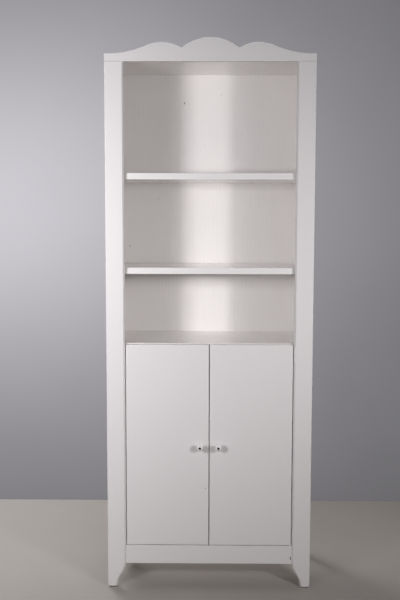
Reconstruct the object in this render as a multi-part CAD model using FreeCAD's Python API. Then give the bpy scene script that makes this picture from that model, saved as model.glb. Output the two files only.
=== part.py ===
"""Tall white bookcase: three open bays above a cupboard with two doors, under a scalloped crown board.

Millimetres, +Z up, front towards -Y. The origin is on the floor, in the middle of the footprint.
All depths below are measured backwards from the front face of the stiles.
"""
import FreeCAD
import Part
import math
import os

Vec = FreeCAD.Vector
os.makedirs("parts", exist_ok=True)

# ------------------------------------------------------------------ boards and overall form
cabinet_width = 710.0
carcass_depth = 350.0
panel_thickness = 16.0
front_frame_thickness = 18.0
shelf_thickness = 22.0
door_thickness = 18.0
back_thickness = 3.0
stile_width = 64.0
stile_chamfer = 5.5
outer_edge_radius = 3.0
small_edge_radius = 1.5
crown_edge_chamfer = 1.2
small_part_sides = 6
turned_part_sides = 12
knob_sides = 24

# ------------------------------------------------------------------ heights, from the floor up
glide_height = 4.0
foot_height = 83.0
rail_height = 65.0
door_bottom_gap = 2.0
door_height = 710.0
shelf_lip = 3.0
lower_bay_height = 239.0
middle_bay_height = 300.0
upper_bay_height = 378.0
crown_drop = 10.0
bottom_panel_rise = 13.0
cupboard_shelf_height = 330.0

# ------------------------------------------------------------------ scalloped crown
crown_valley_x = 96.0
crown_hump_x = 163.0
crown_end_flat = 15.0
crown_valley_rise = 18.5
crown_hump_rise = 37.0
crown_centre_rise = 53.0
crown_valley_radius = 4.0

# ------------------------------------------------------------------ ogee feet
foot_run = 30.5
foot_lower_radius = 64.0
foot_turn_height = 38.0
foot_shoulder_radius = 40.0
side_foot_width = 66.0

# ------------------------------------------------------------------ doors and knobs
door_side_gap = 3.2
door_centre_gap = 2.6
door_edge_radius = 2.5
door_stop_gap = 1.5
knob_from_edge = 30.7
knob_head_radius = 12.8
knob_neck_radius = 6.0
knob_base_radius = 8.0
knob_base_height = 3.0
knob_head_height = 12.0
knob_projection = 34.0
knob_dome_steps = 4
knob_recess_radius = 4.2
knob_recess_depth = 5.0
knob_screw_radius = 2.0
knob_screw_head_radius = 3.6
knob_screw_head_height = 2.6
knob_screw_grip = 13.0
screw_clearance = 0.25

# ------------------------------------------------------------------ narrow butt hinges
hinge_height = 60.0
hinge_from_end = 90.0
hinge_knuckles = 3
hinge_axis_depth = 4.0
hinge_barrel_radius = 1.4
hinge_pin_radius = 0.75
hinge_running_clearance = 0.05
hinge_notch_clearance = 0.3
hinge_knuckle_gap = 0.3
hinge_leaf_thickness = 0.8
hinge_leaf_rear_margin = 2.0
hinge_screw_pitch = 40.0
hinge_screw_radius = 1.4
hinge_screw_head_radius = 2.3
hinge_screw_head_height = 0.6
hinge_screw_length = 14.0

# ------------------------------------------------------------------ shelf supports
shelf_end_clearance = 1.0
shelf_back_clearance = 2.0
cupboard_shelf_setback = 24.0
shelf_pin_radius = 2.5
shelf_pin_depth = 10.0
shelf_pin_reach = 8.0
shelf_pin_collar_radius = 4.0
shelf_pin_collar_thickness = 0.8
shelf_hole_pitch = 32.0
shelf_hole_steps = 1
shelf_pin_inset = 38.0

# ------------------------------------------------------------------ carcass fittings
cam_radius = 7.5
cam_depth = 12.5
cam_from_end = 34.0
cam_inset = 52.0
cam_bolt_radius = 3.2
cam_bolt_thread_radius = 2.5
cam_bolt_thread_length = 11.0
cam_bore_clearance = 0.4
dowel_radius = 4.0
dowel_reach = 12.0
stile_dowel_count = 4
stile_dowel_margin = 160.0
rail_dowel_spacing = 34.0
crown_dowel_spacing = 250.0
crown_stile_dowel_spacing = 32.0
cleat_size = 18.0
cleat_end_margin = 60.0
glide_length = 28.0
glide_width = 13.0
glide_corner = 4.0
glide_pin_radius = 1.2
glide_pin_length = 9.0

# ------------------------------------------------------------------ grooved back
back_edge_inset = 2.0
back_groove_pitch = 14.5
back_groove_width = 1.2
back_groove_depth = 0.5
nail_from_edge = 4.0
nail_head_radius = 2.4
nail_head_thickness = 0.8
nail_radius = 0.8
nail_length = 16.0
nail_spacing = 200.0

# ------------------------------------------------------------------ catches, stops and wall fixing
catch_from_centre = 46.0
catch_width = 40.0
catch_depth = 18.0
catch_height = 12.0
magnet_width = 30.0
magnet_height = 7.0
magnet_depth = 5.0
catch_air_gap = 0.3
strike_thickness = 0.9
strike_margin = 1.0
strike_screw_radius = 1.2
strike_screw_length = 9.0
strike_screw_head_radius = 2.2
strike_screw_head_height = 0.5
catch_screw_radius = 1.4
catch_screw_head_radius = 2.6
catch_screw_head_height = 1.6
catch_screw_grip = 10.0
bumper_radius = 4.0
bumper_from_edge = 12.0
bumper_air_gap = 0.3
bracket_from_centre = 250.0
bracket_width = 22.0
bracket_leg = 34.0
bracket_thickness = 2.0
bracket_hole_radius = 2.75
bracket_screw_radius = 1.8
bracket_screw_length = 12.0
bracket_screw_head_radius = 4.2
bracket_screw_head_height = 2.4

# ------------------------------------------------------------------ worked-out places
half_width = cabinet_width / 2
inner_x = half_width - panel_thickness
opening_x = half_width - stile_width
door_outer_x = opening_x - door_side_gap
door_inner_x = door_centre_gap / 2
knob_x = door_inner_x + knob_from_edge
rail_z = glide_height + foot_height
rail_top_z = rail_z + rail_height
door_z = rail_top_z + door_bottom_gap
door_top_z = door_z + door_height
bottom_panel_top_z = rail_top_z + bottom_panel_rise
bottom_panel_z = bottom_panel_top_z - panel_thickness
fixed_shelf_top_z = door_top_z + shelf_lip
fixed_shelf_z = fixed_shelf_top_z - panel_thickness
lower_shelf_z = fixed_shelf_top_z + lower_bay_height
upper_shelf_z = lower_shelf_z + shelf_thickness + middle_bay_height
top_panel_z = upper_shelf_z + shelf_thickness + upper_bay_height
carcass_top_z = top_panel_z + panel_thickness
crown_z = top_panel_z - crown_drop
back_y = carcass_depth - back_thickness
rear_y = carcass_depth + nail_head_thickness
panel_front_y = front_frame_thickness + door_stop_gap
front_y = knob_projection - (knob_projection + rear_y) / 2

X_AXIS = Vec(1, 0, 0)
Y_AXIS = Vec(0, 1, 0)
Z_AXIS = Vec(0, 0, 1)


# ------------------------------------------------------------------ shared operations
def board(x0, x1, y0, y1, z0, z1):
    """A flat board between two opposite corners."""
    return Part.makeBox(x1 - x0, y1 - y0, z1 - z0, Vec(x0, y0, z0))


def rod(radius, start, axis, length):
    """A round bar or drill from a start point along an axis."""
    return Part.makeCylinder(radius, length, Vec(*start), axis)


def ring(radius, centre, axis, sides):
    """Corners of a regular polygon round an axis."""
    facing = FreeCAD.Rotation(Z_AXIS, axis)
    corners = []
    for index in range(sides):
        turn = 2 * math.pi * (index + 0.5) / sides
        corners.append(facing.multVec(Vec(radius * math.cos(turn), radius * math.sin(turn), 0)) + Vec(*centre))
    return corners


def polygon(corners):
    return Part.Face(Part.makePolygon(corners + corners[:1]))


def peg(radius, start, axis, length, sides=small_part_sides):
    """A dowel, screw or small drill: a bar with flat sides, which keeps the many small parts light."""
    return polygon(ring(radius, start, axis, sides)).extrude(axis * length)


def mirrored(shape):
    """The same piece on the other side of the cabinet."""
    return shape.mirror(Vec(0, 0, 0), X_AXIS)


def drilled(shape, drills):
    """The piece with a list of drill shapes taken out of it."""
    return shape.cut(drills) if drills else shape


def edges_where(shape, test):
    """Edges whose middle point passes the test."""
    picked = []
    for edge in shape.Edges:
        middle = edge.valueAt((edge.FirstParameter + edge.LastParameter) / 2)
        if test(edge, middle):
            picked.append(edge)
    return picked


def save(name, shape):
    """Write one piece, or one group of like pieces, in the cabinet's own frame."""
    moved = shape.copy()
    moved.translate(Vec(0, front_y, 0))
    moved.exportStep("parts/" + name + ".step")


def save_group(name, shapes):
    save(name, Part.makeCompound(shapes))


def save_pair(name, shape):
    """A right-hand piece and its mirror image on the left, each in a node of its own."""
    save("right_" + name, shape)
    save("left_" + name, mirrored(shape))


# ------------------------------------------------------------------ ogee foot curve
def ogee(floor_at, inward, place):
    """Two tangent arcs from the floor up to the top of the foot, running inward by foot_run.

    floor_at is the horizontal place of the curve at the floor, inward is +1 or -1, and place
    turns a horizontal and a vertical coordinate into a point.
    """
    turn = math.asin(foot_turn_height / foot_lower_radius)
    low_run = foot_lower_radius * (1 - math.cos(turn))
    half_run = foot_lower_radius * (1 - math.cos(turn / 2))
    half_rise = foot_lower_radius * math.sin(turn / 2)
    chord_run = foot_run - low_run
    chord_rise = foot_height - foot_turn_height
    chord = math.hypot(chord_run, chord_rise)
    bend = turn - math.atan2(chord_run, chord_rise)
    sagitta = chord / 2 * math.tan(bend / 2)
    middle_run = low_run + chord_run / 2 + sagitta * chord_rise / chord
    middle_rise = foot_turn_height + chord_rise / 2 - sagitta * chord_run / chord

    def at(run, rise):
        return place(floor_at + inward * run, glide_height + rise)

    turn_point = at(low_run, foot_turn_height)
    lower = Part.Arc(at(0, 0), at(half_run, half_rise), turn_point)
    upper = Part.Arc(turn_point, at(middle_run, middle_rise), at(foot_run, foot_height))
    return [lower.toShape(), upper.toShape()]


# ------------------------------------------------------------------ where the joints of the carcass are
cam_ys = [panel_front_y + cam_inset, back_y - cam_inset]
pin_ys = [panel_front_y + shelf_pin_inset, back_y - shelf_pin_inset]
cam_joints = [
    (top_panel_z + panel_thickness / 2, +1),
    (fixed_shelf_z + panel_thickness / 2, -1),
    (bottom_panel_z + panel_thickness / 2, -1),
]
adjustable_shelves = {
    "upper_shelf": upper_shelf_z,
    "lower_shelf": lower_shelf_z,
    "cupboard_shelf": bottom_panel_top_z + cupboard_shelf_height,
}
side_centre_x = half_width - panel_thickness / 2
stile_dowel_low_z = rail_z + stile_dowel_margin
stile_dowel_high_z = crown_z - stile_dowel_margin
stile_dowel_step = (stile_dowel_high_z - stile_dowel_low_z) / (stile_dowel_count - 1)
stile_dowels = [stile_dowel_low_z + i * stile_dowel_step for i in range(stile_dowel_count)]
rail_centre_z = rail_z + rail_height / 2
rail_dowels = [rail_centre_z - rail_dowel_spacing / 2, rail_centre_z + rail_dowel_spacing / 2]
stile_centre_x = opening_x + stile_width / 2
crown_stile_dowels = [
    stile_centre_x - crown_stile_dowel_spacing / 2,
    stile_centre_x + crown_stile_dowel_spacing / 2,
]
crown_top_dowels = [-crown_dowel_spacing, 0.0, crown_dowel_spacing]
crown_back_z = top_panel_z + panel_thickness / 2
frame_centre_y = front_frame_thickness / 2


# ------------------------------------------------------------------ dowels, which also drill their holes
def stile_side_dowel(z):
    start = (side_centre_x, front_frame_thickness - dowel_reach, z)
    return peg(dowel_radius, start, Y_AXIS, 2 * dowel_reach)


def rail_stile_dowel(z):
    start = (opening_x - dowel_reach, frame_centre_y, z)
    return peg(dowel_radius, start, X_AXIS, 2 * dowel_reach)


def crown_stile_dowel(x):
    start = (x, frame_centre_y, crown_z - dowel_reach)
    return peg(dowel_radius, start, Z_AXIS, 2 * dowel_reach)


def crown_top_dowel(x):
    start = (x, front_frame_thickness - dowel_reach, crown_back_z)
    return peg(dowel_radius, start, Y_AXIS, 2 * dowel_reach)


side_dowel_rods = [stile_side_dowel(z) for z in stile_dowels]
rail_dowel_rods = [rail_stile_dowel(z) for z in rail_dowels]
crown_stile_rods = [crown_stile_dowel(x) for x in crown_stile_dowels]
crown_top_rods = [crown_top_dowel(x) for x in crown_top_dowels]
right_hand_rods = side_dowel_rods + rail_dowel_rods + crown_stile_rods
save_group("wooden_dowels", right_hand_rods + [mirrored(r) for r in right_hand_rods] + crown_top_rods)


# ------------------------------------------------------------------ cam bolts and cam locks
def cam_bolt(y, z):
    """Threaded into the side panel, with a plain shank that reaches the middle of the cam."""
    thread_start = (inner_x + cam_bolt_thread_length, y, z)
    thread = peg(cam_bolt_thread_radius, thread_start, -X_AXIS, cam_bolt_thread_length)
    shank = peg(cam_bolt_radius, (inner_x, y, z), -X_AXIS, cam_from_end)
    return thread.fuse(shank)


def cam_lock(y, z, side):
    """A turned disc with a mouth for the bolt and a cross slot in its open face."""
    open_z = z + side * panel_thickness / 2
    x = inner_x - cam_from_end
    disc = peg(cam_radius, (x, y, open_z), -side * Z_AXIS, cam_depth, turned_part_sides)
    mouth_half = cam_bolt_radius + cam_bore_clearance
    mouth = board(x - mouth_half, x + cam_radius, y - mouth_half, y + mouth_half,
                  z - mouth_half, z + mouth_half)
    slot_long = cam_radius * 0.6
    slot_wide = cam_radius * 0.12
    slot_deep = cam_radius * 0.25
    cross = []
    for reach_x, reach_y in ((slot_long, slot_wide), (slot_wide, slot_long)):
        cross.append(board(x - reach_x, x + reach_x, y - reach_y, y + reach_y,
                           open_z - slot_deep, open_z + slot_deep))
    return disc.cut([mouth] + cross)


def panel_end_drills(z, side):
    """Bolt bores in the ends of a fixed panel and cam pockets in its hidden face."""
    drills = []
    for y in cam_ys:
        bore_radius = cam_bolt_radius + cam_bore_clearance
        drills.append(peg(bore_radius, (inner_x, y, z), -X_AXIS, cam_from_end))
        pocket_start = (inner_x - cam_from_end, y, z + side * panel_thickness / 2)
        drills.append(peg(cam_radius, pocket_start, -side * Z_AXIS, cam_depth, turned_part_sides))
    return drills + [mirrored(drill) for drill in drills]


bolts = []
locks = []
for joint_z, joint_side in cam_joints:
    for joint_y in cam_ys:
        bolts.append(cam_bolt(joint_y, joint_z))
        locks.append(cam_lock(joint_y, joint_z, joint_side))
save_group("cam_bolts", bolts + [mirrored(bolt) for bolt in bolts])
save_group("cam_locks", locks + [mirrored(lock) for lock in locks])


# ------------------------------------------------------------------ shelf pins
def shelf_pin(y, shelf_z):
    """A steel pin pushed into the side panel, with a thin collar, that the shelf lies on."""
    z = shelf_z - shelf_pin_radius
    start = (inner_x + shelf_pin_depth, y, z)
    pin = peg(shelf_pin_radius, start, -X_AXIS, shelf_pin_depth + shelf_pin_reach)
    collar = peg(shelf_pin_collar_radius, (inner_x, y, z), -X_AXIS, shelf_pin_collar_thickness)
    return pin.fuse(collar)


shelf_holes = []
for shelf_name, shelf_z in adjustable_shelves.items():
    pins = [shelf_pin(y, shelf_z) for y in pin_ys]
    save_group(shelf_name + "_pins", pins + [mirrored(pin) for pin in pins])
    for step in range(-shelf_hole_steps, shelf_hole_steps + 1):
        hole_z = shelf_z - shelf_pin_radius + step * shelf_hole_pitch
        for y in pin_ys:
            shelf_holes.append(peg(shelf_pin_radius, (inner_x, y, hole_z), X_AXIS, shelf_pin_depth))


# ------------------------------------------------------------------ side panels on their feet
def side_panel():
    """Standing side board, cut out at the bottom into a front and a rear foot."""
    def place(y, z):
        return Vec(inner_x, y, z)

    front_toe = side_foot_width - foot_run
    rear_toe = carcass_depth - front_toe
    front_curve = ogee(front_toe, 1, place)
    rear_curve = ogee(rear_toe, -1, place)
    arch_z = glide_height + foot_height
    outline = [
        Part.LineSegment(place(front_frame_thickness, glide_height), place(front_toe, glide_height)),
        Part.LineSegment(place(side_foot_width, arch_z), place(rear_toe - foot_run, arch_z)),
        Part.LineSegment(place(rear_toe, glide_height), place(back_y, glide_height)),
        Part.LineSegment(place(back_y, glide_height), place(back_y, carcass_top_z)),
        Part.LineSegment(place(back_y, carcass_top_z), place(front_frame_thickness, carcass_top_z)),
        Part.LineSegment(place(front_frame_thickness, carcass_top_z),
                         place(front_frame_thickness, glide_height)),
    ]
    edges = [line.toShape() for line in outline] + front_curve + rear_curve
    face = Part.Face(Part.Wire(Part.sortEdges(edges)[0]))
    panel = face.extrude(Vec(panel_thickness, 0, 0))
    threads = []
    for z, _ in cam_joints:
        for y in cam_ys:
            threads.append(peg(cam_bolt_thread_radius, (inner_x, y, z), X_AXIS, cam_bolt_thread_length))
    return drilled(panel, threads + shelf_holes + side_dowel_rods)


save_pair("side_panel", side_panel())


# ------------------------------------------------------------------ front stiles
def front_stile():
    """Upright front board with a chamfer that runs down its inner edge and round the ogee foot."""
    def place(x, z):
        return Vec(x, 0, z)

    toe_x = opening_x + foot_run
    curve = ogee(toe_x, -1, place)
    outline = [
        Part.LineSegment(place(opening_x, rail_z), place(opening_x, crown_z)),
        Part.LineSegment(place(opening_x, crown_z), place(half_width, crown_z)),
        Part.LineSegment(place(half_width, crown_z), place(half_width, glide_height)),
        Part.LineSegment(place(half_width, glide_height), place(toe_x, glide_height)),
    ]
    edges = [line.toShape() for line in outline] + curve
    face = Part.Face(Part.Wire(Part.sortEdges(edges)[0]))
    stile = face.extrude(Vec(0, front_frame_thickness, 0))

    def shoulder(edge, middle):
        return abs(middle.x - opening_x) < 0.01 and abs(middle.z - rail_z) < 0.01

    def inner_front(edge, middle):
        level = abs(middle.z - glide_height) < 0.01 or abs(middle.z - crown_z) < 0.01
        return abs(middle.y) < 0.01 and middle.x < half_width - 1 and not level

    def outer_front(edge, middle):
        return abs(middle.y) < 0.01 and middle.x > half_width - 0.01

    stile = stile.makeFillet(foot_shoulder_radius, edges_where(stile, shoulder))
    stile = stile.makeChamfer(stile_chamfer, edges_where(stile, inner_front))
    stile = stile.makeFillet(outer_edge_radius, edges_where(stile, outer_front))
    return drilled(stile, side_dowel_rods + rail_dowel_rods + crown_stile_rods)


save_pair("front_stile", front_stile())


# ------------------------------------------------------------------ crown board
def crown_board():
    """Scalloped top board: a centre arch, a hump at each side and long hollow sweeps to the ends."""
    end_rise = carcass_top_z - crown_z
    hump_width = crown_hump_x - crown_valley_x
    hump_height = crown_hump_rise - crown_valley_rise
    hump_radius = (hump_width ** 2 + hump_height ** 2) / (2 * hump_height)
    hump_centre = crown_hump_rise - hump_radius
    crown_flat_x = half_width - crown_end_flat
    reach = crown_flat_x - crown_hump_x
    sweep_radius = (reach ** 2 + hump_centre ** 2 - hump_radius ** 2) / (2 * (hump_radius + hump_centre))
    share = hump_radius / (hump_radius + sweep_radius)
    join_x = crown_hump_x + reach * share
    join_rise = hump_centre + (sweep_radius - hump_centre) * share
    sweep_turn = math.asin((crown_flat_x - join_x) / sweep_radius)
    sweep_x = crown_flat_x - sweep_radius * math.sin(sweep_turn / 2)
    sweep_rise = sweep_radius * (1 - math.cos(sweep_turn / 2))

    def at(x, rise):
        return Vec(x, 0, crown_z + end_rise + rise)

    edges = []
    for side in (1, -1):
        end_top = at(side * half_width, 0)
        end_foot = at(side * half_width, -end_rise)
        flat = at(side * crown_flat_x, 0)
        join = at(side * join_x, join_rise)
        valley = at(side * crown_valley_x, crown_valley_rise)
        edges.append(Part.LineSegment(end_foot, end_top))
        edges.append(Part.LineSegment(end_top, flat))
        edges.append(Part.Arc(flat, at(side * sweep_x, sweep_rise), join))
        edges.append(Part.Arc(join, at(side * crown_hump_x, crown_hump_rise), valley))
    edges.append(Part.Arc(at(crown_valley_x, crown_valley_rise), at(0, crown_centre_rise),
                          at(-crown_valley_x, crown_valley_rise)))
    edges.append(Part.LineSegment(at(-half_width, -end_rise), at(half_width, -end_rise)))
    wire = Part.Wire(Part.sortEdges([edge.toShape() for edge in edges])[0])
    crown = Part.Face(wire).extrude(Vec(0, front_frame_thickness, 0))

    def valley_line(edge, middle):
        return abs(abs(middle.x) - crown_valley_x) < 0.01 and abs(middle.y - frame_centre_y) < 0.01

    def top_front(edge, middle):
        above = middle.z > carcass_top_z - 0.01
        at_end = abs(middle.x) > half_width - 0.01
        return abs(middle.y) < 0.01 and (above or at_end)

    crown = crown.makeFillet(crown_valley_radius, edges_where(crown, valley_line))
    crown = crown.makeChamfer(crown_edge_chamfer, edges_where(crown, top_front))
    return drilled(crown, crown_stile_rods + [mirrored(r) for r in crown_stile_rods] + crown_top_rods)


save("crown_board", crown_board())


# ------------------------------------------------------------------ fixed panels
def long_front_edges(y):
    """A test for the long edges along the front of a board whose front face is at y."""
    def test(edge, middle):
        along_x = abs(edge.Vertexes[0].Z - edge.Vertexes[-1].Z) < 0.01
        return abs(middle.y - y) < 0.01 and abs(middle.x) < 0.01 and along_x
    return test


def fixed_panel(front, z, side, rounded):
    panel = board(-inner_x, inner_x, front, back_y, z, z + panel_thickness)
    if rounded:
        panel = panel.makeFillet(small_edge_radius, edges_where(panel, long_front_edges(front)))
    return drilled(panel, panel_end_drills(z + panel_thickness / 2, side))


top_panel = fixed_panel(front_frame_thickness, top_panel_z, 1, False)
save("top_panel", drilled(top_panel, crown_top_rods))
save("fixed_shelf", fixed_panel(panel_front_y, fixed_shelf_z, -1, True))
save("bottom_panel", fixed_panel(panel_front_y, bottom_panel_z, -1, False))

# ------------------------------------------------------------------ bottom rail and the cleat behind it
rail = board(-opening_x, opening_x, 0, front_frame_thickness, rail_z, rail_top_z)
rail = rail.makeFillet(small_edge_radius, edges_where(rail, long_front_edges(0)))
save("front_rail", drilled(rail, rail_dowel_rods + [mirrored(r) for r in rail_dowel_rods]))

cleat_x = opening_x - cleat_end_margin
save("rail_cleat", board(-cleat_x, cleat_x, front_frame_thickness, front_frame_thickness + cleat_size,
                         bottom_panel_z - cleat_size, bottom_panel_z))


# ------------------------------------------------------------------ grooved back panels
def back_panel(z0, z1):
    """Thin panel with fine upright V grooves in its front face, at an even pitch from the middle."""
    half = half_width - back_edge_inset
    groove_count = int((inner_x - back_groove_width) / back_groove_pitch)
    points = [Vec(-half, back_y, z0)]
    for index in range(-groove_count, groove_count + 1):
        x = index * back_groove_pitch
        points.append(Vec(x - back_groove_width / 2, back_y, z0))
        points.append(Vec(x, back_y + back_groove_depth, z0))
        points.append(Vec(x + back_groove_width / 2, back_y, z0))
    points += [Vec(half, back_y, z0), Vec(half, carcass_depth, z0), Vec(-half, carcass_depth, z0)]
    face = Part.Face(Part.makePolygon(points + points[:1]))
    return face.extrude(Vec(0, 0, z1 - z0))


def back_nail(x, z):
    """Flat-headed nail through the back panel into the board behind its edge."""
    head = peg(nail_head_radius, (x, carcass_depth, z), Y_AXIS, nail_head_thickness)
    shank = peg(nail_radius, (x, carcass_depth, z), -Y_AXIS, nail_length)
    return head.fuse(shank)


def nails_round(low_z, high_z):
    """Nails along the two sides, and along a bottom row and a top row, of one back panel."""
    nails = []
    rows = max(2, round((high_z - low_z) / nail_spacing))
    across = max(2, round(2 * inner_x / nail_spacing))
    for row in range(rows):
        z = low_z + (row + 0.5) * (high_z - low_z) / rows
        nails += [back_nail(side_centre_x, z), back_nail(-side_centre_x, z)]
    for column in range(across):
        x = -inner_x + (column + 0.5) * 2 * inner_x / across
        nails += [back_nail(x, low_z), back_nail(x, high_z)]
    return nails


back_split_z = fixed_shelf_z + panel_thickness / 2
lower_nails = nails_round(bottom_panel_z + panel_thickness / 2, back_split_z - nail_from_edge)
upper_nails = nails_round(back_split_z + nail_from_edge, top_panel_z + panel_thickness / 2)
save_group("back_nails", lower_nails + upper_nails)
save("back_panel_lower", back_panel(bottom_panel_z, back_split_z))
save("back_panel_upper", back_panel(back_split_z, carcass_top_z - back_edge_inset))


# ------------------------------------------------------------------ adjustable shelves
def adjustable_shelf(z, setback):
    """Loose shelf, a little shorter than the space between the side panels."""
    x = inner_x - shelf_end_clearance
    front = panel_front_y + setback
    shelf = board(-x, x, front, back_y - shelf_back_clearance, z, z + shelf_thickness)
    return shelf.makeFillet(small_edge_radius, edges_where(shelf, long_front_edges(front)))


for shelf_name, shelf_z in adjustable_shelves.items():
    setback = cupboard_shelf_setback if shelf_name == "cupboard_shelf" else 0.0
    save(shelf_name, adjustable_shelf(shelf_z, setback))


# ------------------------------------------------------------------ floor glides
def floor_glide(x, y, half_x, half_y):
    """Flat plastic pad under a foot, with its corners cut off and a nail through it into the foot."""
    pad = board(x - half_x, x + half_x, y - half_y, y + half_y, 0, glide_height)

    def corner(edge, middle):
        return abs(middle.z - glide_height / 2) < 0.01

    pad = pad.makeChamfer(glide_corner, edges_where(pad, corner))
    pin = peg(glide_pin_radius, (x, y, glide_height), Z_AXIS, glide_pin_length)
    return pad.fuse(pin)


front_glide_x = (half_width + opening_x + foot_run) / 2
rear_glide_y = (carcass_depth - side_foot_width + foot_run + back_y) / 2
glides = [
    floor_glide(front_glide_x, frame_centre_y, glide_length / 2, glide_width / 2),
    floor_glide(side_centre_x, rear_glide_y, glide_width / 2, glide_length / 2),
]
save_group("floor_glides", glides + [mirrored(glide) for glide in glides])


# ------------------------------------------------------------------ doors
def door():
    """Flat slab door with its four front edges rounded over."""
    slab = board(door_inner_x, door_outer_x, 0, door_thickness, door_z, door_top_z)

    def front_edge(edge, middle):
        return abs(middle.y) < 0.01

    return slab.makeFillet(door_edge_radius, edges_where(slab, front_edge))


save_pair("door", door())

# ------------------------------------------------------------------ turned knobs and their screws
knob_z = (door_z + door_top_z) / 2
knob_seat_y = -(knob_projection - knob_recess_depth)


def knob():
    """Turned knob: flared base, slim neck and a domed head with a recess for its screw."""
    head_back = knob_projection - knob_head_height
    rim = knob_projection - knob_head_height / 2
    dome_span = knob_head_radius ** 2 - knob_recess_radius ** 2
    dome_centre = (knob_projection + rim - dome_span / (knob_projection - rim)) / 2
    dome_radius = math.hypot(knob_head_radius, rim - dome_centre)
    rim_turn = math.acos(knob_head_radius / dome_radius)
    top_turn = math.acos(knob_recess_radius / dome_radius)
    profile = [
        (knob_base_radius, 0),
        (knob_base_radius, knob_base_height),
        (knob_neck_radius, 2 * knob_base_height),
        (knob_neck_radius, head_back),
        (knob_head_radius - knob_base_height / 2, rim - knob_base_height),
    ]
    for step in range(knob_dome_steps + 1):
        turn = rim_turn + (top_turn - rim_turn) * step / knob_dome_steps
        profile.append((dome_radius * math.cos(turn), dome_centre + dome_radius * math.sin(turn)))
    rings = [ring(radius, (knob_x, -forward, knob_z), Y_AXIS, knob_sides) for radius, forward in profile]
    faces = [polygon(rings[0]), polygon(rings[-1])]
    for lower, upper in zip(rings, rings[1:]):
        for index in range(knob_sides):
            following = (index + 1) % knob_sides
            faces.append(polygon([lower[index], lower[following], upper[following], upper[index]]))
    solid = Part.Solid(Part.Shell(faces))
    recess = peg(knob_recess_radius, (knob_x, -knob_projection, knob_z), Y_AXIS, knob_recess_depth, knob_sides)
    hole = peg(knob_screw_radius + screw_clearance, (knob_x, -knob_projection, knob_z), Y_AXIS, knob_projection)
    return solid.cut([recess, hole])


def knob_screw():
    """Screw whose head sits in the knob's recess and whose shank goes on into the door."""
    seat = (knob_x, knob_seat_y, knob_z)
    head = peg(knob_screw_head_radius, seat, -Y_AXIS, knob_screw_head_height, knob_sides)
    shank = peg(knob_screw_radius, seat, Y_AXIS, knob_screw_grip - knob_seat_y)
    return head.fuse(shank)


save_pair("knob", knob())
save_pair("knob_screw", knob_screw())

# ------------------------------------------------------------------ narrow butt hinges in the side gaps
hinge_x = (opening_x + door_outer_x) / 2
hinge_starts = [door_z + hinge_from_end - hinge_height / 2,
                door_top_z - hinge_from_end - hinge_height / 2]
leaf_front_y = hinge_axis_depth + hinge_barrel_radius + hinge_notch_clearance
leaf_rear_y = door_thickness - hinge_leaf_rear_margin
hinge_screw_y = (leaf_front_y + leaf_rear_y) / 2


def hinge_screw_zs(start_z):
    middle_z = start_z + hinge_height / 2
    return [middle_z - hinge_screw_pitch / 2, middle_z + hinge_screw_pitch / 2]


def hinge_leaf(start_z, seat_x, side, first_knuckle, bore_radius):
    """One leaf: a plate on its board's edge, with every second knuckle rolled round the pin.

    seat_x is the board's edge and side is the direction from that edge towards the pin.
    """
    plate_x0, plate_x1 = sorted((seat_x, seat_x + side * hinge_leaf_thickness))
    leaf = board(plate_x0, plate_x1, leaf_front_y, leaf_rear_y, start_z, start_z + hinge_height)
    step = hinge_height / hinge_knuckles
    rolls = []
    for index in range(first_knuckle, hinge_knuckles, 2):
        z0 = start_z + index * step + hinge_knuckle_gap / 2
        z1 = start_z + (index + 1) * step - hinge_knuckle_gap / 2
        rolls.append(board(plate_x0, plate_x1, hinge_axis_depth, leaf_front_y, z0, z1))
        barrel_start = (hinge_x, hinge_axis_depth, z0)
        rolls.append(peg(hinge_barrel_radius, barrel_start, Z_AXIS, z1 - z0, turned_part_sides))
    holes = [rod(bore_radius, (hinge_x, hinge_axis_depth, start_z), Z_AXIS, hinge_height)]
    for z in hinge_screw_zs(start_z):
        start = (plate_x0, hinge_screw_y, z)
        holes.append(peg(hinge_screw_radius + screw_clearance, start, X_AXIS, hinge_leaf_thickness))
    return leaf.fuse(rolls).removeSplitter().cut(holes)


def hinge_screws(start_z, seat_x, side):
    """Flat screws through one leaf into the board's edge."""
    screws = []
    for z in hinge_screw_zs(start_z):
        under_head = (seat_x + side * hinge_leaf_thickness, hinge_screw_y, z)
        head = peg(hinge_screw_head_radius, under_head, side * X_AXIS, hinge_screw_head_height)
        shank = peg(hinge_screw_radius, under_head, -side * X_AXIS, hinge_screw_length)
        screws.append(head.fuse(shank))
    return screws


def hinge_pin(start_z):
    """Plain pin, tight in the frame leaf and free in the door leaf."""
    return rod(hinge_pin_radius, (hinge_x, hinge_axis_depth, start_z), Z_AXIS, hinge_height)


running_bore = hinge_pin_radius + hinge_running_clearance
frame_leaves = [hinge_leaf(z, opening_x, -1, 0, hinge_pin_radius) for z in hinge_starts]
door_leaves = [hinge_leaf(z, door_outer_x, 1, 1, running_bore) for z in hinge_starts]
frame_screws = sum([hinge_screws(z, opening_x, -1) for z in hinge_starts], [])
door_screws = sum([hinge_screws(z, door_outer_x, 1) for z in hinge_starts], [])
hinge_pins = [hinge_pin(z) for z in hinge_starts]
save_pair("hinge_frame_leaves", Part.makeCompound(frame_leaves))
save_pair("hinge_door_leaves", Part.makeCompound(door_leaves))
save_pair("hinge_frame_screws", Part.makeCompound(frame_screws))
save_pair("hinge_door_screws", Part.makeCompound(door_screws))
save_pair("hinge_pins", Part.makeCompound(hinge_pins))

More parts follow.
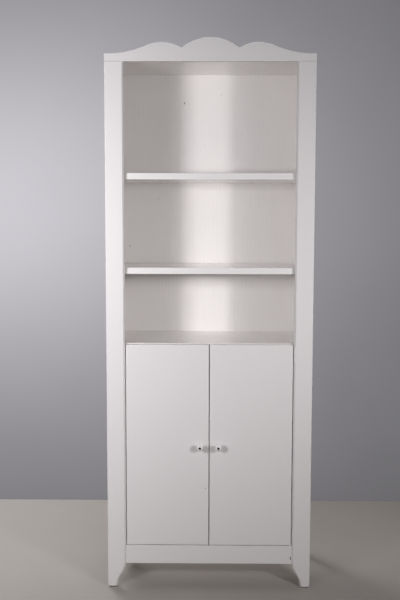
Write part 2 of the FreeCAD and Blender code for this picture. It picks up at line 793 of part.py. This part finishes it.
# ------------------------------------------------------------------ magnetic catches and strike plates
catch_front_y = door_thickness + strike_thickness + catch_air_gap
catch_centre_z = fixed_shelf_z - catch_height / 2
catch_x0 = catch_from_centre - catch_width / 2
catch_x1 = catch_from_centre + catch_width / 2
magnet = board(catch_from_centre - magnet_width / 2, catch_from_centre + magnet_width / 2,
               catch_front_y, catch_front_y + magnet_depth,
               catch_centre_z - magnet_height / 2, catch_centre_z + magnet_height / 2)
catch_screw_y = (catch_front_y + magnet_depth + catch_front_y + catch_depth) / 2
catch_screw_x = catch_width / 2 - 2 * catch_screw_head_radius


def catch_screw(x):
    """Screw up through the catch into the underside of the fixed shelf."""
    foot = (x, catch_screw_y, fixed_shelf_z - catch_height)
    head = peg(catch_screw_head_radius, foot, Z_AXIS, catch_screw_head_height)
    shank = peg(catch_screw_radius, foot, Z_AXIS, catch_height + catch_screw_grip)
    return head.fuse(shank)


catch_screws = [catch_screw(catch_from_centre + offset) for offset in (-catch_screw_x, catch_screw_x)]
catch_body = board(catch_x0, catch_x1, catch_front_y, catch_front_y + catch_depth,
                   fixed_shelf_z - catch_height, fixed_shelf_z)
catch_body = catch_body.cut([magnet] + catch_screws)
save_group("magnetic_catches", [catch_body, mirrored(catch_body)])
save_group("catch_magnets", [magnet, mirrored(magnet)])
save_group("catch_screws", catch_screws + [mirrored(screw) for screw in catch_screws])


def strike_screw(x):
    """Small countersunk screw that holds the strike plate on the back of the door."""
    face_y = door_thickness + strike_thickness
    head_start = (x, face_y - strike_screw_head_height, catch_centre_z)
    head = peg(strike_screw_head_radius, head_start, Y_AXIS, strike_screw_head_height)
    shank = peg(strike_screw_radius, head_start, -Y_AXIS, strike_screw_length)
    return head.fuse(shank)


strike_screw_x = magnet_width / 4
strike_screws = [strike_screw(catch_from_centre - strike_screw_x),
                 strike_screw(catch_from_centre + strike_screw_x)]
strike_half = magnet_width / 2 + strike_margin
strike_plate = board(catch_from_centre - strike_half, catch_from_centre + strike_half,
                     door_thickness, door_thickness + strike_thickness,
                     catch_centre_z - magnet_height / 2 - strike_margin,
                     catch_centre_z + magnet_height / 2 + strike_margin)
save_pair("strike_plate", strike_plate.cut(strike_screws))
save_pair("strike_screws", Part.makeCompound(strike_screws))

# ------------------------------------------------------------------ soft stops behind the doors
bumper_x = door_inner_x + bumper_from_edge
bumper_zs = [(door_z + bottom_panel_top_z) / 2, (fixed_shelf_z + door_top_z) / 2]
bumper_thickness = panel_front_y - door_thickness - bumper_air_gap
bumpers = [peg(bumper_radius, (bumper_x, panel_front_y, z), -Y_AXIS, bumper_thickness) for z in bumper_zs]
save_group("door_bumpers", bumpers + [mirrored(bumper) for bumper in bumpers])

# ------------------------------------------------------------------ wall brackets
bracket_x0 = bracket_from_centre - bracket_width / 2
bracket_x1 = bracket_from_centre + bracket_width / 2
bracket_hole_z = carcass_top_z + bracket_leg * 0.65
bracket_screw_y = rear_y - bracket_leg * 0.65
flat_leg = board(bracket_x0, bracket_x1, rear_y - bracket_leg, rear_y,
                 carcass_top_z, carcass_top_z + bracket_thickness)
wall_leg = board(bracket_x0, bracket_x1, rear_y - bracket_thickness, rear_y,
                 carcass_top_z, carcass_top_z + bracket_leg)
wall_hole_start = (bracket_from_centre, rear_y, bracket_hole_z)
wall_hole = rod(bracket_hole_radius, wall_hole_start, -Y_AXIS, bracket_thickness)
bracket_screw_seat = (bracket_from_centre, bracket_screw_y, carcass_top_z + bracket_thickness)
flat_hole = peg(bracket_screw_radius + screw_clearance, bracket_screw_seat, -Z_AXIS, bracket_thickness)
bracket_head = peg(bracket_screw_head_radius, bracket_screw_seat, Z_AXIS, bracket_screw_head_height)
bracket_shank = peg(bracket_screw_radius, bracket_screw_seat, -Z_AXIS, bracket_screw_length)
bracket_screw = bracket_head.fuse(bracket_shank)
bracket = flat_leg.fuse(wall_leg).removeSplitter().cut([wall_hole, flat_hole])
save_group("wall_brackets", [bracket, mirrored(bracket)])
save_group("wall_bracket_screws", [bracket_screw, mirrored(bracket_screw)])
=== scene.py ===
import math

import bmesh
import bpy
from mathutils import Matrix, Vector


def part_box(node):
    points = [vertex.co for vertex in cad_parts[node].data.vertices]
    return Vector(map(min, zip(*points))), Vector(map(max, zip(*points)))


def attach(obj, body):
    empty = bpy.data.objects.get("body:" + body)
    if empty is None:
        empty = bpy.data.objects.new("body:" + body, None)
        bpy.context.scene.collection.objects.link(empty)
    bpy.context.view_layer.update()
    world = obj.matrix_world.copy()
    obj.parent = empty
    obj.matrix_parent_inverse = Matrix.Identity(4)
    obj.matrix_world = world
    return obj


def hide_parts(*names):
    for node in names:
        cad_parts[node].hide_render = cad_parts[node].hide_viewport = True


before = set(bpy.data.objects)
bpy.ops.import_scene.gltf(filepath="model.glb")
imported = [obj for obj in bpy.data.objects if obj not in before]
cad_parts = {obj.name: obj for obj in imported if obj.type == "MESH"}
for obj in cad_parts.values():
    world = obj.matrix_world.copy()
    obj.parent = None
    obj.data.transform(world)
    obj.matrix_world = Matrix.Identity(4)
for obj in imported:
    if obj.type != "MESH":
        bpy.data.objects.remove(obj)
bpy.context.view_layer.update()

# ---------------------------------------------------------------- side panels
# Two tall particleboard panels wrapped in white foil, cut out below into a front and a rear foot.
# Rows of holes carry the shelf pins, and cam bolts hold the fixed panels. The foil has a very faint
# print and a thin lacquer.

foil_light, foil_dark = (0.892, 0.866, 0.845), (0.868, 0.84, 0.815)
foil_relief = 0.00006
print_upright, print_across = (1.0, 1.0, 0.03), (0.03, 1.0, 1.0)


class Value:
    """A number that varies over a surface: arithmetic on it adds Math nodes to its finish."""

    def __init__(self, finish, socket):
        self.finish = finish
        self.socket = socket

    def math(self, operation, *terms):
        return self.finish.node("Math", {"operation": operation}, dict(enumerate(terms)))

    def __add__(self, other):
        return self.math("ADD", self, other)

    def __sub__(self, other):
        return self.math("SUBTRACT", self, other)

    def __rsub__(self, other):
        return self.math("SUBTRACT", other, self)

    def __mul__(self, other):
        return self.math("MULTIPLY", self, other)

    def __truediv__(self, other):
        return self.math("DIVIDE", self, other)

    def __rtruediv__(self, other):
        return self.math("DIVIDE", other, self)

    def __abs__(self):
        return self.math("ABSOLUTE", self)

    __radd__ = __add__
    __rmul__ = __mul__

    def ramp(self, start, end):
        """0 up to start and 1 from end on, with a soft change between them."""
        inputs = {"Value": self, "From Min": start, "From Max": end}
        return self.finish.node("MapRange", {"interpolation_type": "SMOOTHSTEP"}, inputs)

    def near(self, place, reach):
        """1 at a place along this coordinate, falling to 0 at a reach on either side."""
        return 1 - abs(self - place).ramp(0.0, reach)


class Finish:
    """One material under way: a principled shader, and what varies over the surface fed to it."""

    def __init__(self, name, **constants):
        self.material = bpy.data.materials.new(name)
        self.material.use_nodes = True
        self.tree = self.material.node_tree
        self.shader = self.tree.nodes["Principled BSDF"]
        self.place = self.node("TexCoord", {}, {}, "Object")
        inputs = {socket.replace("_", " "): value for socket, value in constants.items()}
        self.feed(self.shader, inputs)

    def feed(self, made, inputs):
        for name, value in inputs.items():
            if isinstance(value, Value):
                self.tree.links.new(value.socket, made.inputs[name])
            elif isinstance(value, tuple) and made.inputs[name].type == "RGBA":
                made.inputs[name].default_value = (*value, 1.0)
            else:
                made.inputs[name].default_value = value

    def node(self, kind, settings, inputs, output=0):
        made = self.tree.nodes.new("ShaderNode" + kind)
        for name, value in settings.items():
            setattr(made, name, value)
        self.feed(made, inputs)
        return Value(self, made.outputs[output])

    def axis(self, name):
        """One coordinate of the place on the piece, in metres."""
        return self.node("SeparateXYZ", {}, {"Vector": self.place}, name)

    def noise(self, scale, stretch=(1.0, 1.0, 1.0), detail=3.0):
        place = self.node("Mapping", {}, {"Vector": self.place, "Scale": stretch})
        return self.node("TexNoise", {}, {"Vector": place, "Scale": scale, "Detail": detail})

    def mix(self, low, high, share):
        """One colour where the share is 0, the other where it is 1."""
        return self.node("Mix", {"data_type": "RGBA"}, {0: share, 6: low, 7: high}, 2)

    def patch(self, x, z, wide, tall, lean):
        """1 inside an uneven oval on a front face, and 0 round it. A lean tips its top right."""
        core, edge, raggedness = 0.55, 1.0, 0.8
        up = (self.axis("Z") - z) / tall
        along = (self.axis("X") - x) / wide - up * lean
        ragged = (self.noise(900.0, detail=1.0) - 0.5) * raggedness
        return 1 - (along * along + up * up + ragged).ramp(core, edge)

    def surface(self):
        return Value(self, self.shader.outputs["BSDF"])

    def bump(self, height, depth):
        inputs = {"Height": height, "Distance": depth, "Strength": 1.0}
        self.feed(self.shader, {"Normal": self.node("Bump", {}, inputs, "Normal")})


def dress(finish, *nodes):
    """Gives CAD pieces their finish."""
    for node in nodes:
        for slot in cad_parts[node].material_slots:
            slot.material = finish.material


def white_foil(name, along):
    foil = Finish(name, Roughness=0.4, Specular_IOR_Level=0.45, Coat_Weight=0.55,
                  Coat_Roughness=0.18)
    cloud = foil.noise(3.0)
    print_lines = foil.noise(130.0, along, detail=5.0)
    foil.printed = foil.mix(foil_light, foil_dark, cloud * 0.6 + print_lines * 0.4)
    sheen = 0.18 + foil.noise(40.0) * 0.12
    foil.feed(foil.shader, {"Base Color": foil.printed, "Roughness": sheen})
    foil.bump(print_lines * 0.6 + foil.noise(900.0) * 0.4, foil_relief)
    return foil


dress(white_foil("side_panel_foil", print_upright), "left_side_panel", "right_side_panel")

# ---------------------------------------------------------------- stiles, rail and crown
# The front frame is fibreboard in a sprayed white satin paint, doweled and glued over the panels'
# edges. The paint has a fine orange peel. It is thin at the joints, scuffed at the feet and knocked
# off at the right end of the rail.

paint_light, paint_dark = (0.872, 0.849, 0.834), (0.845, 0.821, 0.803)
scuff_tone, seam_tone, rim_tone = (0.52, 0.48, 0.43), (0.34, 0.32, 0.30), (0.93, 0.92, 0.9)
scuff_height = 0.07
stile_edge, edge_blur = 0.299, 0.0005
joint_z, joint_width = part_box("crown_board")[0].z, 0.0011
seam_depth, knock_depth = 6.0, 9.0
rim_wide, rim_tall = 2.6, 1.5
paint_relief = 0.00009


def front_paint(name, along, knocks=()):
    """A knock is its place in x and z, its half width and half height, its lean and its tone."""
    paint = Finish(name, Roughness=0.4, Specular_IOR_Level=0.5)
    x, z = paint.axis("X"), paint.axis("Z")
    cloud = paint.noise(2.2)
    strokes = paint.noise(90.0, along, detail=4.0)
    peel = paint.noise(620.0, detail=2.0)
    clean = paint.mix(paint_light, paint_dark, cloud * 0.65 + strokes * 0.35)
    low_down = 1 - z.ramp(0.0, scuff_height)
    scuffs = low_down * paint.noise(55.0, (1.0, 1.0, 0.4)).ramp(0.45, 0.75)
    scuffed = paint.mix(clean, scuff_tone, scuffs * 0.45)
    on_stile = abs(x).ramp(stile_edge - edge_blur, stile_edge + edge_blur)
    seam = z.near(joint_z, joint_width) * on_stile
    toned = paint.mix(scuffed, seam_tone, seam * 0.8)
    dents = seam * seam_depth
    for place, (wide, tall), lean, tone in knocks:
        rim = paint.patch(*place, wide * rim_wide, tall * rim_tall, lean)
        knock = paint.patch(*place, wide, tall, lean)
        toned = paint.mix(paint.mix(toned, rim_tone, rim * 0.6), tone, knock)
        dents = dents + knock * knock_depth
    sheen = 0.34 + strokes * 0.08 + scuffs * 0.3
    paint.feed(paint.shader, {"Base Color": toned, "Roughness": sheen})
    paint.bump(peel * 0.35 + strokes * 0.25 - dents, paint_relief)
    return paint


rail_knock = ((0.2868, 0.1078), (0.0019, 0.0082), 0.0, (0.1, 0.095, 0.09))
dress(front_paint("stile_paint", (1.0, 1.0, 0.05)), "left_front_stile", "right_front_stile")
dress(front_paint("crown_paint", (0.05, 1.0, 1.0), [rail_knock]), "crown_board", "front_rail")

# ---------------------------------------------------------------- fixed panels
# Top panel, cupboard top and cupboard floor, in the same foil as the sides with its print running
# across. Their ends are drilled for the cam bolts, and the cams sit in pockets in the hidden faces.

dress(white_foil("panel_foil", print_across), "top_panel", "fixed_shelf", "bottom_panel")

# ---------------------------------------------------------------- loose shelves
# Thicker boards in white foil, edged in front with a strip that is a touch duller and brighter.
# They lie loose on the pins, so each leaves a hairline of shadow at both ends.

strip_tone = (0.92, 0.894, 0.872)
strip_front, strip_back = -0.139, -0.1375
strip_roughness, board_roughness = 0.3, 0.2


def shelf_foil():
    foil = white_foil("shelf_foil", print_across)
    front = 1 - foil.axis("Y").ramp(strip_front, strip_back)
    roughness = {0: front, 2: board_roughness, 3: strip_roughness}
    foil.feed(foil.shader, {
        "Base Color": foil.mix(foil.printed, strip_tone, front),
        "Roughness": foil.node("Mix", {"data_type": "FLOAT"}, roughness),
    })
    return foil


dress(shelf_foil(), "upper_shelf", "lower_shelf", "cupboard_shelf")

# ---------------------------------------------------------------- back panels
# Thin fibreboard in two sheets, painted white and cut with fine grooves in front, bare and brown
# behind. The grooves are lightened in patches with painted light, which lifts the shade that falls
# in them. The paint has a few small knocks. The fibres show behind as short flecks.

board_low, board_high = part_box("back_panel_upper")
board_light, board_dark = (0.88, 0.853, 0.83), (0.856, 0.828, 0.803)
bare_light, bare_dark = (0.36, 0.235, 0.135), (0.235, 0.145, 0.078)
# Painted light: a paler tone that lightens the shade in the grooves.
painted_groove_light = (0.97, 0.95, 0.93)
paint_end, bare_start = board_high.y - 0.0012, board_high.y - 0.0010
face_end, groove_start = board_low.y + 0.00004, board_low.y + 0.0002
mark_depth = 5.0
board_relief = 0.00008
back_marks = [
    ((-0.0958, 1.7246), (0.0022, 0.0042), 0.9, (0.16, 0.14, 0.12)),
    ((0.0420, 1.7558), (0.0026, 0.0020), 0.0, (0.60, 0.58, 0.55)),
    ((-0.0180, 1.5690), (0.0034, 0.0016), 0.2, (0.70, 0.68, 0.65)),
    ((-0.3040, 1.1925), (0.0024, 0.0032), 0.3, (0.42, 0.40, 0.37)),
    ((-0.1935, 1.3715), (0.0046, 0.0018), 0.3, (0.62, 0.60, 0.56)),
]


def back_board():
    board = Finish("back_board", Roughness=0.6, Specular_IOR_Level=0.35)
    fibres = board.noise(420.0, (1.0, 1.0, 0.55), detail=6.0)
    patches = board.noise(14.0)
    painted = board.mix(board_light, board_dark, board.noise(5.0) * 0.7 + fibres * 0.3)
    bare = board.mix(bare_light, bare_dark, fibres * 0.75 + patches * 0.25)
    behind = board.axis("Y").ramp(paint_end, bare_start)
    # Painted light: the grooves are lightened in patches, colour that stands in for light filling
    # their shade.
    in_groove = board.axis("Y").ramp(face_end, groove_start) * (1 - behind)
    painted_light_patches = board.noise(5.0, (3.0, 1.0, 1.6)).ramp(0.3, 0.7)
    painted = board.mix(painted, painted_groove_light, in_groove * (0.35 + painted_light_patches * 0.6))
    dents = fibres
    for place, size, lean, tone in back_marks:
        mark = board.patch(*place, *size, lean)
        painted = board.mix(painted, tone, mark)
        dents = dents - mark * mark_depth
    board.feed(board.shader, {
        "Base Color": board.mix(painted, bare, behind),
        "Roughness": 0.5 + behind * 0.15 + fibres * 0.1,
    })
    board.bump(dents, board_relief)
    return board


dress(back_board(), "back_panel_upper", "back_panel_lower")

# ---------------------------------------------------------------- dowels and cleat
# Beech dowels join the stiles to the sides and the rail, and the crown to the stiles and the top. A
# planed spruce cleat sits behind the rail. Both are bare: the spruce has long grain with darker
# rings, the beech short flecks.

spruce_light, spruce_dark = (0.72, 0.56, 0.36), (0.55, 0.38, 0.2)
beech_light, beech_dark = (0.68, 0.5, 0.33), (0.55, 0.37, 0.22)
grain_relief = 0.00012


def bare_wood(name, along, light, dark):
    wood = Finish(name, Roughness=0.65)
    rings = wood.noise(60.0, along, detail=6.0)
    pores = wood.noise(700.0, along, detail=2.0)
    grain = wood.mix(light, dark, rings.ramp(0.35, 0.7) * 0.8 + pores * 0.2)
    wood.feed(wood.shader, {"Base Color": grain, "Roughness": 0.55 + pores * 0.2})
    wood.bump(pores * 0.5 + rings * 0.5, grain_relief)
    return wood


dress(bare_wood("spruce_cleat", (0.05, 1.0, 1.0), spruce_light, spruce_dark), "rail_cleat")
dress(bare_wood("beech_dowel", (1.0, 1.0, 1.0), beech_light, beech_dark), "wooden_dowels")

# ---------------------------------------------------------------- cam bolts, cams and shelf pins
# Zinc plated steel bolts, die cast cams and steel pins. The plating is dull and slightly blue, with
# fine turning marks and a few darker spots.

zinc_tone, cast_tone = (0.62, 0.625, 0.63), (0.5, 0.5, 0.505)
spot_darkness = 0.78
turning_relief = 0.00002


def plated(name, tone, rough):
    metal = Finish(name, Metallic=1.0, Roughness=rough)
    clouds = metal.noise(180.0, detail=4.0)
    turning = metal.noise(2400.0, detail=1.0)
    dark = tuple(channel * spot_darkness for channel in tone)
    metal.feed(metal.shader, {
        "Base Color": metal.mix(tone, dark, clouds.ramp(0.4, 0.75)),
        "Roughness": rough + clouds * 0.14 + turning * 0.08,
    })
    metal.bump(turning, turning_relief)
    return metal


zinc = plated("zinc_plate", zinc_tone, rough=0.28)
cast = plated("cast_zinc", cast_tone, rough=0.42)
dress(zinc, "cam_bolts", "upper_shelf_pins", "lower_shelf_pins", "cupboard_shelf_pins")
dress(cast, "cam_locks")

# ---------------------------------------------------------------- nails in the back
# Flat-headed wire nails along the edges of both back panels, plated like the bolts. Their heads
# stand just proud of the board.

dress(zinc, "back_nails")

# ---------------------------------------------------------------- floor glides
# Dark plastic pads with cut corners, one under each foot, held by a pin that is pressed up into it.
# Their rims are dusty from the floor.

glide_tone, glide_dust = (0.09, 0.085, 0.08), (0.24, 0.22, 0.2)
moulded_relief = 0.00004


def moulded(name, tone, dusty, rough):
    plastic = Finish(name, Roughness=rough)
    dust = plastic.noise(260.0, detail=4.0)
    plastic.feed(plastic.shader, {
        "Base Color": plastic.mix(tone, dusty, dust.ramp(0.5, 0.8) * 0.6),
        "Roughness": rough + dust * 0.15,
    })
    plastic.bump(plastic.noise(1500.0, detail=1.0), moulded_relief)
    return plastic


dress(moulded("glide_plastic", glide_tone, glide_dust, rough=0.5), "floor_glides")

# ---------------------------------------------------------------- doors
# Two flat fibreboard doors with rounded front edges, sprayed with the same paint as the frame. They
# hang in the frame with even gaps and stop against two small bumpers each.

door_knock = ((-0.0116, 0.3585), (0.0023, 0.0038), 0.5, (0.5, 0.48, 0.45))
dress(front_paint("door_paint", (1.0, 1.0, 0.08), [door_knock]), "left_door", "right_door")

# ---------------------------------------------------------------- knobs
# Turned wooden knobs, lacquered white: a flared base, a slim neck and a domed head. Each is held
# from the front by one dark screw, whose head sits in a round recess in the middle of the dome.

lacquer_light, lacquer_dark = (0.88, 0.872, 0.855), (0.84, 0.83, 0.81)
# Painted shade: the dark tone of the knob recess stands for bare wood in the shade of the hole.
shaded_bare_wood = (0.1, 0.085, 0.075)
screw_tone = (0.06, 0.058, 0.055)
recess_shade_radius, lacquer_radius = 0.0041, 0.0046
lacquer_relief = 0.00003
turned_steps = 48
merge_reach = 0.000002
sharp_angle = 35


def lathe(name, profile, centre, axis):
    """A turned piece: (radius, distance along axis) points spun once round the axis at centre."""
    mesh = bmesh.new()
    points = [mesh.verts.new((radius, 0.0, along)) for radius, along in profile]
    outline = [mesh.edges.new(pair) for pair in zip(points, points[1:])]
    bmesh.ops.spin(mesh, geom=points + outline, cent=(0, 0, 0), axis=(0, 0, 1), angle=2 * math.pi,
                   steps=turned_steps, use_merge=True)
    bmesh.ops.remove_doubles(mesh, verts=mesh.verts, dist=merge_reach)
    bmesh.ops.recalc_face_normals(mesh, faces=mesh.faces)
    facing = Vector((0, 0, 1)).rotation_difference(Vector(axis)).to_matrix().to_4x4()
    bmesh.ops.transform(mesh, matrix=Matrix.Translation(centre) @ facing, verts=mesh.verts)
    for face in mesh.faces:
        face.smooth = True
    data = bpy.data.meshes.new(name)
    mesh.to_mesh(data)
    mesh.free()
    data.set_sharp_from_angle(angle=math.radians(sharp_angle))
    piece = bpy.data.objects.new(name, data)
    bpy.context.scene.collection.objects.link(piece)
    return piece


def arc(centre, radius, start, end, steps):
    """Points along an arc in a profile, with its angles in degrees."""
    turns = [math.radians(start + (end - start) * step / steps) for step in range(steps + 1)]
    middle, along = centre
    return [(middle + radius * math.cos(turn), along + radius * math.sin(turn)) for turn in turns]


def knob_profile(reach, head):
    """From the hole at the base, out over the flare, neck and dome, and down into the recess."""
    hole, neck = 0.00225, 0.0058
    base, base_edge, edge_height = 0.0080, 0.0082, 0.0006
    recess, recess_depth = 0.0042, 0.005
    flare_round, under_round, rim_round = 0.0032, 0.0034, 0.0026
    dome_round, lip_round = 0.0162, 0.0004
    flare_height = 0.0040
    under_depth, rim_depth, lip_depth = 0.0130, 0.0070, 0.0005
    flare = arc((neck + flare_round, flare_height), flare_round, 270, 180, 6)
    under = arc((neck + under_round, reach - under_depth), under_round, 180, 90, 8)
    rim = arc((head - rim_round, reach - rim_depth), rim_round, -60, 25, 8)
    dome = arc((0.0, reach - dome_round), dome_round, 50, 76, 10)
    lip = arc((recess + lip_round, reach - lip_depth), lip_round, 70, 180, 4)
    foot = [(hole, 0.0), (base, 0.0), (base_edge, edge_height)]
    bore = [(recess, reach - recess_depth), (hole, reach - recess_depth), (hole, 0.0)]
    return foot + flare + under + rim + dome + lip + bore


def knob_lacquer(knob_x, knob_z):
    """White lacquer that stops at the recess round the screw, where bare wood is darkened with
    painted shade.
    """
    lacquer = Finish("knob_lacquer", Roughness=0.22, Specular_IOR_Level=0.5)
    x, up = lacquer.axis("X"), lacquer.axis("Z") - knob_z
    across = abs(x) - knob_x
    # Painted shade: inside the recess the walls take the dark tone, bare wood darkened for the
    # shade in the hole.
    bare = 1 - (across * across + up * up).ramp(recess_shade_radius ** 2, lacquer_radius ** 2)
    cloud = lacquer.noise(60.0)
    white = lacquer.mix(lacquer_light, lacquer_dark, cloud)
    lacquer.feed(lacquer.shader, {
        "Base Color": lacquer.mix(white, shaded_bare_wood, bare),
        "Roughness": 0.2 + cloud * 0.12 + bare * 0.4,
    })
    lacquer.bump(lacquer.noise(900.0, detail=2.0), lacquer_relief)
    return lacquer


left_low, left_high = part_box("left_knob")
knob_finish = knob_lacquer(-(left_low.x + left_high.x) / 2, (left_low.z + left_high.z) / 2)
for side in ("left", "right"):
    low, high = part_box(side + "_knob")
    centre = ((low.x + high.x) / 2, high.y, (low.z + high.z) / 2)
    profile = knob_profile(high.y - low.y, (high.x - low.x) / 2)
    knob = lathe(side + "_turned_knob", profile, centre, (0, -1, 0))
    knob.data.materials.append(knob_finish.material)
    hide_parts(side + "_knob")
    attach(knob, side + "_door")

dark_steel = plated("dark_screw_steel", screw_tone, rough=0.45)
dress(dark_steel, "left_knob_screw", "right_knob_screw")

# ---------------------------------------------------------------- hinges
# Slim zinc plated butt hinges in the gaps beside the doors, with three knuckles each, plain pins
# and two screws to a leaf.

for side in ("left", "right"):
    dress(zinc, side + "_hinge_frame_leaves", side + "_hinge_door_leaves", side + "_hinge_pins",
          side + "_hinge_frame_screws", side + "_hinge_door_screws")

# ---------------------------------------------------------------- catches, strikes and bumpers
# White plastic catches screwed under the cupboard top, each with a ground black magnet. A steel
# strike on the back of each door meets it, and soft clear bumpers take the knock.

catch_tone, catch_dust = (0.8, 0.79, 0.76), (0.7, 0.68, 0.64)
magnet_tone = (0.14, 0.14, 0.145)
bumper_tone, bumper_dust = (0.66, 0.65, 0.62), (0.6, 0.58, 0.54)

dress(moulded("catch_plastic", catch_tone, catch_dust, rough=0.38), "magnetic_catches")
dress(plated("magnet_ferrite", magnet_tone, rough=0.5), "catch_magnets")
dress(zinc, "catch_screws", "left_strike_plate", "right_strike_plate", "left_strike_screws",
      "right_strike_screws")
dress(moulded("bumper_rubber", bumper_tone, bumper_dust, rough=0.3), "door_bumpers")

# ---------------------------------------------------------------- wall brackets
# Two bent steel angles screwed to the top panel, which keep the tall bookcase from tipping. Each
# has a hole in its upright leg for the screw into the wall.

dress(zinc, "wall_brackets", "wall_bracket_screws")

# ---------------------------------------------------------------- floor, backdrop, lamps and camera
# A plain pale floor and a grey wall close behind, see-through from its back. The camera and
# reflections see on the wall a painted pool of light, brightest up on the left, instead of its lit
# paint. Two soft lamps stand in front, each with a bright core and a wide faint rim at two heights,
# and the left one brighter. One more stands behind, and a faint one hangs over the top.

floor_light, floor_dark = (0.49, 0.46, 0.42), (0.44, 0.41, 0.372)
wall_light, wall_dark = (0.84, 0.838, 0.86), (0.79, 0.788, 0.81)
# Painted light: the tone, place, size and strength of the glowing pool painted on the wall.
glow_tone = (0.966, 0.938, 1.0)
glow_x, glow_z = -1.0, 1.37
glow_wide, glow_tall = 1.34, 0.94
glow_strength, glow_mottle = 0.61, 0.06
room_half, wall_y, wall_height = 9.0, 0.78, 5.0
front_spread, top_spread, rear_spread = 84.0, 30.0, 150.0
air_tone, air_strength = (0.78, 0.79, 0.82, 1.0), 0.105


def sheet_of_ground(name, corners):
    mesh = bmesh.new()
    mesh.faces.new([mesh.verts.new(corner) for corner in corners])
    data = bpy.data.meshes.new(name)
    mesh.to_mesh(data)
    mesh.free()
    piece = bpy.data.objects.new(name, data)
    bpy.context.scene.collection.objects.link(piece)
    return piece


floor = sheet_of_ground("floor", [
    (-room_half, -room_half, 0), (room_half, -room_half, 0),
    (room_half, room_half, 0), (-room_half, room_half, 0),
])
floor_finish = Finish("floor_paint", Roughness=0.75)
floor_tone = floor_finish.mix(floor_light, floor_dark, floor_finish.noise(2.0))
floor_finish.feed(floor_finish.shader, {"Base Color": floor_tone})
floor.data.materials.append(floor_finish.material)

wall = sheet_of_ground("backdrop", [
    (-room_half, wall_y, 0), (room_half, wall_y, 0),
    (room_half, wall_y, wall_height), (-room_half, wall_y, wall_height),
])
wall_finish = Finish("backdrop_paint", Roughness=0.85)
wall_x, wall_z = wall_finish.axis("X"), wall_finish.axis("Z")
across, rise = (wall_x - glow_x) / glow_wide, (wall_z - glow_z) / glow_tall
# Painted light: a glowing pool that camera and reflected rays see instead of the lit paint; it
# casts no light.
pool = 1 / (across * across + rise * rise + 1.0)
glow = glow_strength * pool + wall_finish.noise(1.2) * glow_mottle
wall_tone = wall_finish.mix(wall_light, wall_dark, wall_finish.noise(1.2))
wall_finish.feed(wall_finish.shader, {"Base Color": wall_tone})
glow_light = wall_finish.mix((0.0, 0.0, 0.0), glow_tone, glow)
lit = wall_finish.node("Emission", {}, {"Color": glow_light})
seen = wall_finish.node("LightPath", {}, {}, "Is Camera Ray")
for other_ray in ("Is Glossy Ray", "Is Transmission Ray"):
    seen = seen.math("MAXIMUM", seen, wall_finish.node("LightPath", {}, {}, other_ray))
shown = wall_finish.node("MixShader", {}, {0: seen, 1: wall_finish.surface(), 2: lit})
clear = wall_finish.node("BsdfTransparent", {}, {})
behind_wall = wall_finish.node("NewGeometry", {}, {}, "Backfacing")
front_only = wall_finish.node("MixShader", {}, {0: behind_wall, 1: shown, 2: clear})
wall_finish.feed(wall_finish.tree.nodes["Material Output"], {"Surface": front_only})
wall.data.materials.append(wall_finish.material)
wall.visible_shadow = False


def soft_lamp(name, place, target, size, spread, watts, tint=(1.0, 1.0, 1.0)):
    data = bpy.data.lights.new(name, "AREA")
    data.shape = "RECTANGLE"
    data.size, data.size_y = size
    data.spread = math.radians(spread)
    data.energy = watts
    data.color = tint
    lamp = bpy.data.objects.new(name, data)
    lamp.location = place
    lamp.rotation_euler = (Vector(target) - Vector(place)).to_track_quat("-Z", "Y").to_euler()
    bpy.context.scene.collection.objects.link(lamp)


def front_lamp(side, depth, aim, tint, widths, heights):
    """Widths are name, x, width and watts; heights are name, z, height and share of the watts."""
    for level, z, tall, share in heights:
        for part, x, wide, watts in widths:
            soft_lamp("_".join((side, part, level)), (x, depth, z), aim, (wide, tall),
                      front_spread, watts * share, tint)


front_lamp("left", -2.292, (-1.272, -0.158, 1.24), (0.975, 0.958, 1.0),
           (("lamp", -1.61, 0.44, 12.6), ("rim_lamp", -1.68, 1.04, 6.4)),
           (("low", 1.33, 0.24, 0.73), ("high", 1.57, 0.14, 0.27)))
front_lamp("right", -2.319, (0.493, -0.158, 0.96), (0.99, 0.972, 1.0),
           (("lamp", 1.66, 0.22, 4.5), ("rim_lamp", 1.6, 0.84, 2.5)),
           (("low", 1.36, 0.17, 0.75), ("high", 1.56, 0.14, 0.25)))
soft_lamp("top_lamp", (0.0, 0.05, 3.4), (0.0, 0.05, 1.84), (1.0, 0.6), top_spread, 0.5)
soft_lamp("rear_lamp", (-1.9, 2.9, 1.9), (0.0, 0.2, 0.95), (1.2, 1.2), rear_spread, 30.0)

world = bpy.data.worlds.new("studio_air")
world.use_nodes = True
world.node_tree.nodes["Background"].inputs["Color"].default_value = air_tone
world.node_tree.nodes["Background"].inputs["Strength"].default_value = air_strength
bpy.context.scene.world = world

camera_x, camera_distance, camera_z = -0.0012, 2.9287, 1.2986
camera_tip, camera_roll, camera_turn = 90 - 5.455, -0.118, 0.628
camera_data = bpy.data.cameras.new("camera")
camera_data.lens = 51.64
camera_data.sensor_width = 36.0
camera = bpy.data.objects.new("camera", camera_data)
camera.location = (camera_x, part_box("left_front_stile")[0].y - camera_distance, camera_z)
camera.rotation_euler = [math.radians(turn) for turn in (camera_tip, camera_roll, camera_turn)]
bpy.context.scene.collection.objects.link(camera)
bpy.context.scene.camera = camera
bpy.context.scene.view_settings.view_transform = "Standard"
